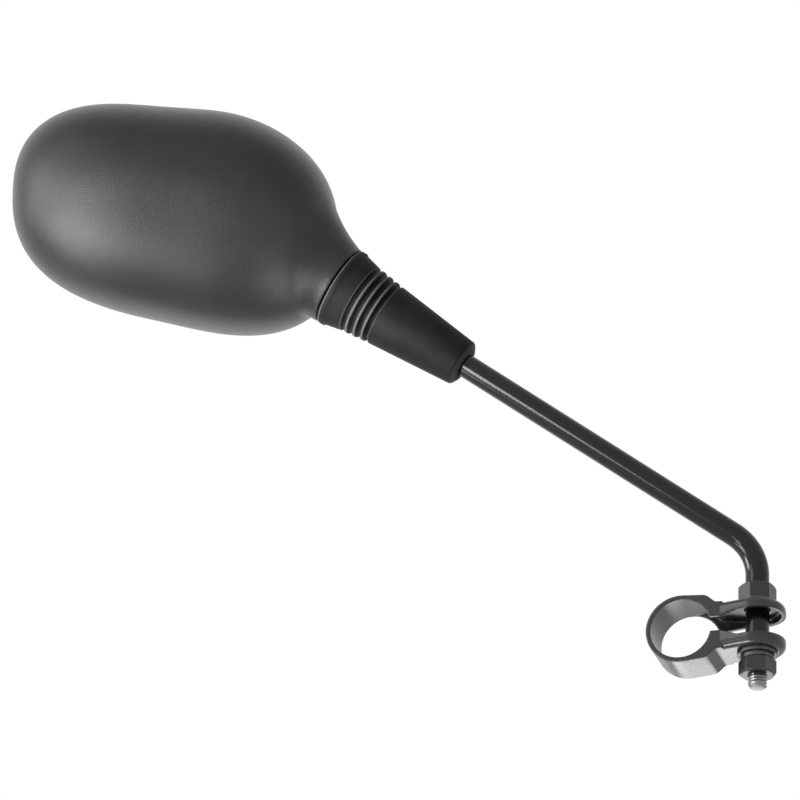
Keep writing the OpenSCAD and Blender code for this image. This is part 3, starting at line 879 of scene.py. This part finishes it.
@dataclass
class Head:
    """The oval head: a lofted shell whose ribs run down the neck, over the dome and to the rim."""
    stem: Stem
    yaw: float = 15.0
    pitch: float = 113.5
    oval_a: float = 67.0
    oval_b: float = 46.1
    oval_n: float = 2.58
    tilt: float = -9.0
    depth: float = 52.0
    dome_n: float = 3.0
    wall: float = 2.4
    neck: Triple = (66.3, -28.8, 24.0)
    neck_d: float = 34.7
    seam_t: float = 12.0
    edging_w: float = 1.6
    glass_t: float = 2.0
    trims: tuple[tuple[int, float, float], ...] = (
        (2, 0.0261, -0.0343), (3, -0.0245, -0.0105), (4, 0.0028, -0.0202))
    fillet_back: float = 7.0
    fillet_front: float = 2.5
    fillet_end: float = 8.0
    slant: float = 0.3
    rim_gap: float = 0.36
    spigot_r: float = 11.8
    hollow_r: float = 14.5
    lead: float = 0.8
    flange: float = 2.5
    columns: int = 300
    way: np.ndarray = field(init=False)

    def __post_init__(self) -> None:
        """Works out the neck's direction in the head's own frame."""
        z = np.array(self.stem.joint().to_3x3() @ Vector((0, 0, 1)))
        self.way = turned(turned(z, 2, -self.yaw), 0, -self.pitch)
        self.end = np.array(self.neck)
        back = np.array([0, 0, 1]) - self.way[2] * self.way
        self.back = back / np.linalg.norm(back)
        cross = np.cross(self.back, self.way)
        self.side = cross / np.linalg.norm(cross)
        self.neck_angle = degrees(atan2(-self.way[1], -self.way[0]))

    def place(self) -> Matrix:
        """The head's frame: the rim's plane, with Z out of the back of the head."""
        ball = self.stem.joint().translation
        origin = self.end - self.seam_t * self.way
        return (Matrix.Translation(ball) @ Matrix.Rotation(radians(self.yaw), 4, "Z")
                @ Matrix.Rotation(radians(self.pitch), 4, "X") @ Matrix.Translation(Vector(-origin) * MM))

    def oval(self, angle: float, inset: float) -> float:
        """The rim's radius at an angle, drawn in by an inset."""
        b = radians(angle - self.tilt)
        trim = 1 + sum(c * cos(k * b) + s * sin(k * b) for k, c, s in self.trims)
        return trim * ((abs(cos(b)) / self.oval_a) ** self.oval_n
                       + (abs(sin(b)) / self.oval_b) ** self.oval_n) ** (-1 / self.oval_n) - inset

    def reach(self, p: np.ndarray, inset: float) -> float:
        """How far out a point lies: 1 is on the dome."""
        r = hypot(p[0], p[1])
        a = degrees(atan2(p[1], p[0]))
        return ((r / self.oval(a, inset)) ** self.dome_n
                + (abs(p[2]) / (self.depth - inset)) ** self.dome_n) ** (1 / self.dome_n)

    def spoke(self, angle: float, s: float, r: float) -> np.ndarray:
        """A point beside the neck's axis, s along it from the seam, at an angle from the back."""
        a = radians(angle)
        return self.end + s * self.way + r * (cos(a) * self.back + sin(a) * self.side)

    def entry(self, r: float, angle: float, inset: float) -> float:
        """Distance along the neck at which a line beside its axis enters the dome."""
        low, high, halvings = -12.0, 45.0, 22
        for _ in range(halvings):
            middle = (low + high) / 2
            if self.reach(self.spoke(angle, middle, r), inset) > 1:
                low = middle
            else:
                high = middle
        return (low + high) / 2

    def rib(self, a: float, r: float, lead: float, flare: float, slant: float, inset: float,
            fillet_n: int, dome_n: int) -> list[np.ndarray]:
        """One rib of the shell.

        Args:
            a: angle about the neck, from the back of the head.
            r: radius at the neck's end.
            lead: where the rib leaves the neck's straight part.
            flare: how far the fillet opens.
            slant: how far the fillet leans out where it leaves the neck.
            inset: depth under the outside.
            fillet_n: steps over the fillet.
            dome_n: steps over the dome.

        Returns:
            Its points in the head's frame, in millimetres.
        """
        b = self.neck_angle + 180 + a
        rim_r = self.oval(b, inset)
        rim = np.array([rim_r * cos(radians(b)), rim_r * sin(radians(b)), 0.0])
        wide = r + flare
        start = self.spoke(a, lead, r)
        join = self.spoke(a, self.entry(wide, a, inset), wide)
        join = join / self.reach(join, inset)
        ahead = join * 0.96 + rim * 0.04
        onward = ahead / self.reach(ahead, inset) - join
        span = np.linalg.norm(join - start)
        lean = self.way + slant * (self.spoke(a, 0.0, 1.0) - self.end)
        u, v = lean / np.linalg.norm(lean) * span, onward / np.linalg.norm(onward) * span
        points = []
        for i in range(fillet_n + 1):
            t = i / fillet_n
            points.append((2 * t ** 3 - 3 * t ** 2 + 1) * start + (t ** 3 - 2 * t ** 2 + t) * u
                          + (3 * t ** 2 - 2 * t ** 3) * join + (t ** 3 - t ** 2) * v)
        for i in range(1, dome_n + 1):
            t = i / dome_n
            p = join * (1 - t) + rim * t
            points.append(rim if i == dome_n else p / self.reach(p, inset))
        return points

    def shell(self, plastic: Finish) -> Piece:
        """Lofts the housing with its rounded seam edge and rolled rim."""
        ribs = []
        neck_r = self.neck_d / 2
        for i in range(self.columns):
            a = 360 * i / self.columns
            sine, cosine = sin(radians(a)), cos(radians(a))
            ended = max(0.0, -sine) ** 2
            flare = (self.fillet_front + (self.fillet_back - self.fillet_front) * (1 + cosine) / 2
                     + self.fillet_end * ended - self.fillet_front * max(0.0, sine) ** 2)
            outer = self.rib(a, neck_r, self.lead, flare, self.slant * ended, 0.0,
                             fillet_n=16, dome_n=56)
            inner = self.rib(a, self.hollow_r, self.flange, 0.0, 0.0, self.wall, fillet_n=2, dome_n=14)
            lip = [self.spoke(a, 0.0, self.spigot_r), self.spoke(a, 0.0, neck_r - 0.6),
                   self.spoke(a, 0.12, neck_r - 0.22), self.spoke(a, 0.5, neck_r - 0.02)]
            rim = outer[-1]
            unit = rim / np.linalg.norm(rim)
            roll = [rim - unit * d + np.array([0, 0, h])
                    for d, h in ((0, 0.6), (0.08, 0.15), (0.35, 0.0), (1.2, 0.0), (1.9, 0.1))]
            ribs.append(lip + outer[:-1] + roll + inner[::-1] + [self.spoke(a, self.flange, self.spigot_r)])
        rows = len(ribs[0])
        points = [Vector(p) * MM for rib in ribs for p in rib]
        faces = woven(self.columns, rows, self.columns)
        return moved(mesh_object("housing_shell", points, faces, plastic), self.place())

    def slab(self, name: str, inset: float, low: float, high: float, bevel: float,
             material: Finish, hole: float | None = None) -> Piece:
        """A flat plate or ring with the rim's outline.

        Args:
            name: the piece's name.
            inset: how far its edge lies inside the rim's outline.
            low: its glass side, above the rim's plane.
            high: its back side.
            bevel: chamfer at the glass side's edge.
            material: its finish.
            hole: inset of its opening, or None for a plate.

        Returns:
            The object.
        """
        count = 360
        rows = [(inset + bevel, low), (inset, low + bevel), (inset, high)]
        if hole is not None:
            rows += [(hole, high), (hole, low + bevel), (hole - bevel, low)]
        points = []
        for depth, height in rows:
            for i in range(count):
                r, a = self.oval(i, depth), radians(i)
                points.append(Vector((r * cos(a), r * sin(a), height)) * MM)
        last = len(rows) - 1
        faces = woven(len(rows), count, last if hole is None else last + 1)
        if hole is None:
            faces += [tuple(reversed(range(count))), tuple(last * count + i for i in range(count))]
        return moved(mesh_object(name, points, faces, material), self.place())

    def build(self, plastic: Finish, mirror: Finish, edging: Finish) -> None:
        """Makes the housing, the glass and its edging."""
        ride(self.shell(plastic), Body.HEAD, "housing_plastic", "housing")
        sight, low = self.wall + self.edging_w, 0.4
        glass = self.slab("glass", sight + 0.1, low, low + self.glass_t, bevel=0.35, material=mirror)
        ride(glass, Body.HEAD, "mirror_silver", "mirror_glass")
        ring = self.slab("edging", self.wall + self.rim_gap, low=0.05, high=2.4, bevel=0.25, material=edging,
                         hole=sight)
        ride(ring, Body.HEAD, "edging_rubber", "glass_edging")


@dataclass
class JointSpring:
    """The ball joint's spring, inside the neck."""
    stem: Stem
    wire_d: float = 1.6
    coil_d: float = 12.4
    turns: float = 4.0
    low: float = 15.0
    high: float = 23.5

    def build(self, steel: Finish) -> None:
        """Winds it as a round wire."""
        tree = Tree("spring_coil", Radius=self.coil_d / 2 * MM, Turns=self.turns,
                    Height=(self.high - self.low - self.wire_d) * MM, Wire=self.wire_d / 2 * MM)
        spring = tree.make("coil_spring", tree.sweep(tree.coil(40), "Wire", 16), steel)
        moved(spring, self.stem.joint() @ Matrix.Translation((0, 0, (self.low + self.wire_d / 2) * MM)))
        ride(spring, Body.HEAD, "bright_steel", "joint_spring")


# Setting

@dataclass
class Studio:
    """The floor, the light and the camera."""
    azimuth: float = 15.0
    elevation: float = -23.5
    scale: float = 2.4
    centre: tuple[float, float] = (-119.17, 98.75)
    picture: int = 800
    distance: float = 4.0
    floor_z: float = -0.28
    floor_half: float = 30.0
    floor_glow: float = 0.72
    level: float = 0.34

    def axes(self) -> tuple[Vector, Vector, Vector]:
        """The camera's right, up and back directions."""
        a, e = radians(self.azimuth), radians(self.elevation)
        right = Vector((cos(a), sin(a), 0))
        back = Vector((sin(a) * cos(e), -cos(a) * cos(e), sin(e)))
        return right, back.cross(right), back

    def point(self, place: Triple) -> Vector:
        """A point right, up and back from the picture's middle, in metres."""
        right, up, back = self.axes()
        middle = (right * self.centre[0] + up * self.centre[1]) * MM
        return middle + right * place[0] + up * place[1] + back * place[2]

    def camera(self) -> None:
        """Stands the camera at the photograph's angle, framed for its square."""
        data = bpy.data.cameras.new("camera")
        data.type, data.ortho_scale = "ORTHO", self.picture / self.scale * MM
        data.clip_start, data.clip_end = 0.1, 20.0
        obj = linked("camera", data)
        obj.matrix_world = (Matrix.Translation(self.point((0, 0, self.distance)))
                            @ Matrix(self.axes()).transposed().to_4x4())
        bpy.context.scene.camera = obj

    def lamp(self, name: str, place: Triple, size: tuple[float, float],
             power: float, aim: Triple, spread: float = 180.0) -> None:
        """Hangs a soft lamp.

        Args:
            name: the lamp's name.
            place: right, up and back from the picture's middle, in metres.
            size: its width and height.
            power: watts.
            aim: the point it faces, given as the place is.
            spread: its beam's angle, in degrees.
        """
        data = bpy.data.lights.new(name, "AREA")
        data.shape, data.size, data.size_y, data.energy = "RECTANGLE", *size, power
        data.spread = radians(spread)
        obj = linked(name, data)
        obj.location = self.point(place)
        obj.rotation_mode = "QUATERNION"
        way = (self.point(aim) - self.point(place)).normalized()
        obj.rotation_quaternion = self.facing(way, self.axes()[0])
        obj.visible_camera = False

    @staticmethod
    def facing(aim: Vector, right: Vector) -> Any:
        """A turn that points a lamp along an aim with its width level in the picture."""
        up = right.cross(aim).normalized() * -1
        side = aim.cross(up).normalized()
        return Matrix((side, up, -aim)).transposed().to_quaternion()

    def world(self) -> None:
        """A white surround, plain white where it is seen or mirrored and softer as light."""
        world = bpy.data.worlds.new("surround")
        world.use_nodes = True
        nodes = Nodes(world.node_tree)
        soft, plain = (nodes.node("ShaderNodeBackground", None, {"Color": WHITE, "Strength": strength})
                       for strength in (self.level, 1.0))
        mix = nodes.node("ShaderNodeMixShader", None,
                         {0: nodes.seen(), 1: soft.outputs[0], 2: plain.outputs[0]})
        nodes.node("ShaderNodeOutputWorld", None, {"Surface": mix.outputs[0]})
        bpy.context.scene.world = world

    def floor(self) -> None:
        """A plain pale floor, clear from below for a low camera and for the lamps that stand there."""
        s = Shader("floor")
        s.dress(Base_Color=(0.82, 0.82, 0.82), Roughness=0.8, Specular_IOR_Level=0.2)
        glow = s.node("ShaderNodeEmission", None, {"Color": WHITE, "Strength": 1.0})
        pale = s.node("ShaderNodeMixShader", None,
                      {0: s.seen() * self.floor_glow, 1: s.surface.outputs[0], 2: glow.outputs[0]})
        clear = s.node("ShaderNodeBsdfTransparent")
        under = s.node("ShaderNodeNewGeometry").outputs["Backfacing"]
        mix = s.node("ShaderNodeMixShader", None, {0: under, 1: pale.outputs[0], 2: clear.outputs[0]})
        s.put(s.output.inputs["Surface"], mix.outputs[0])
        half = self.floor_half
        corners = [(x * half, y * half, self.floor_z) for x, y in ((-1, -1), (1, -1), (1, 1), (-1, 1))]
        obj = mesh_object("floor", corners, [(0, 1, 2, 3)], s.material, smooth=False)
        obj.visible_shadow = obj.visible_glossy = False

    def build(self) -> None:
        """Sets the whole studio."""
        self.camera()
        self.world()
        self.floor()
        middle, head, edge = (0.0, 0.0, 0.0), (-0.09, 0.077, 0.0), (-0.09, 0.034, -0.05)
        neck, collar = (-0.04, 0.048, -0.04), (0.125, -0.112, 0.0)
        narrow, wider = 40.0, 60.0
        for lamp in (
                ("side", (-1.22, 0.15, -0.06), (0.42, 0.45), 9.5, middle),
                ("above", (-0.9, 0.8, 0.35), (0.6, 0.5), 3.0, middle),
                ("near_side", (-0.5, 0.007, 0.26), (0.25, 0.3), 0.3, head, narrow),
                ("key", (-0.46, -0.043, 0.5), (0.15, 0.15), 0.2, head, narrow),
                ("low_side", (-0.42, -0.143, 0.15), (0.25, 0.2), 0.15, head, narrow),
                ("band", (-0.33, -0.045, 0.24), (0.2, 0.08), 0.055, head, narrow),
                ("front", (-0.3, 0.0, 0.5), (0.15, 0.15), 0.1, head, narrow),
                ("low_edge", (-0.1, -0.18, -0.3), (0.35, 0.12), 0.018, edge, wider),
                ("neck_side", (0.005, -0.012, 0.025), (0.02, 0.08), 0.009, neck, narrow),
                ("ear", (-0.01, -0.32, 0.155), (0.12, 0.04), 0.03, collar, narrow),
                ("collar_low", (0.13, -0.165, -0.045), (0.06, 0.025), 0.022, collar)):
            self.lamp(*lamp)
        bpy.context.scene.view_settings.view_transform = "Standard"


def main() -> None:
    """Builds the studio, then each sub-assembly in order, and dresses the inner pieces."""
    logging.basicConfig(level=logging.INFO, format="%(message)s")
    Studio().build()
    stem = Stem()
    steel = Plating("bright_steel", (0.55, 0.55, 0.56), (0.3, 0.3, 0.31), 0.3).material()
    washer = Plating("dark_steel", (0.1, 0.1, 0.103), (0.05, 0.05, 0.052), 0.42).material()
    collar = Paint("collar_paint", (0.02, 0.02, 0.021), (0.09, 0.09, 0.092), 0.26, peel=0.00004,
                   clouds=0.12, wear=0.5).material()
    black = Paint("fastener_black", (0.016, 0.016, 0.017), (0.09, 0.09, 0.09), 0.36, peel=0.00003,
                  clouds=0.1, wear=0.6).material()
    rod = Paint("rod_paint", (0.006, 0.006, 0.0065), (0.05, 0.05, 0.05), 0.16, peel=0.00001, clouds=0.05,
                wear=0.15, bright_below=-0.0222, specular=0.3).material()
    nylon = Moulded().material()
    inner = Moulded("inner_plastic", (0.03, 0.03, 0.03), (0.02, 0.02, 0.02), 0.5, 900.0).material()
    foam = Moulded("foam", (0.12, 0.12, 0.12), (0.08, 0.08, 0.08), 0.8, 2500.0).material()
    edging = Moulded("edging_rubber", (0.014, 0.014, 0.014), (0.02, 0.02, 0.02), 0.5, 1500.0).material()

    Clamp().build(collar, black, washer)
    stem.build(rod)
    Boot(stem).build(BootRubber().material())
    Head(stem).build(GrainedPlastic().material(), MirrorFace().material(), edging)
    JointSpring(stem).build(steel)
    plain = {"joint_ball": steel, "ball_ring": washer, "socket_liner": nylon, "pressure_pad": nylon,
             "pivot_base": inner, "spring_plate": steel, "plate_screws": steel, "glass_carrier": inner,
             "foam_pad": foam}
    for node, material in plain.items():
        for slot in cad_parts[node].material_slots:
            slot.material = material


if __name__ == "__main__":
    main()
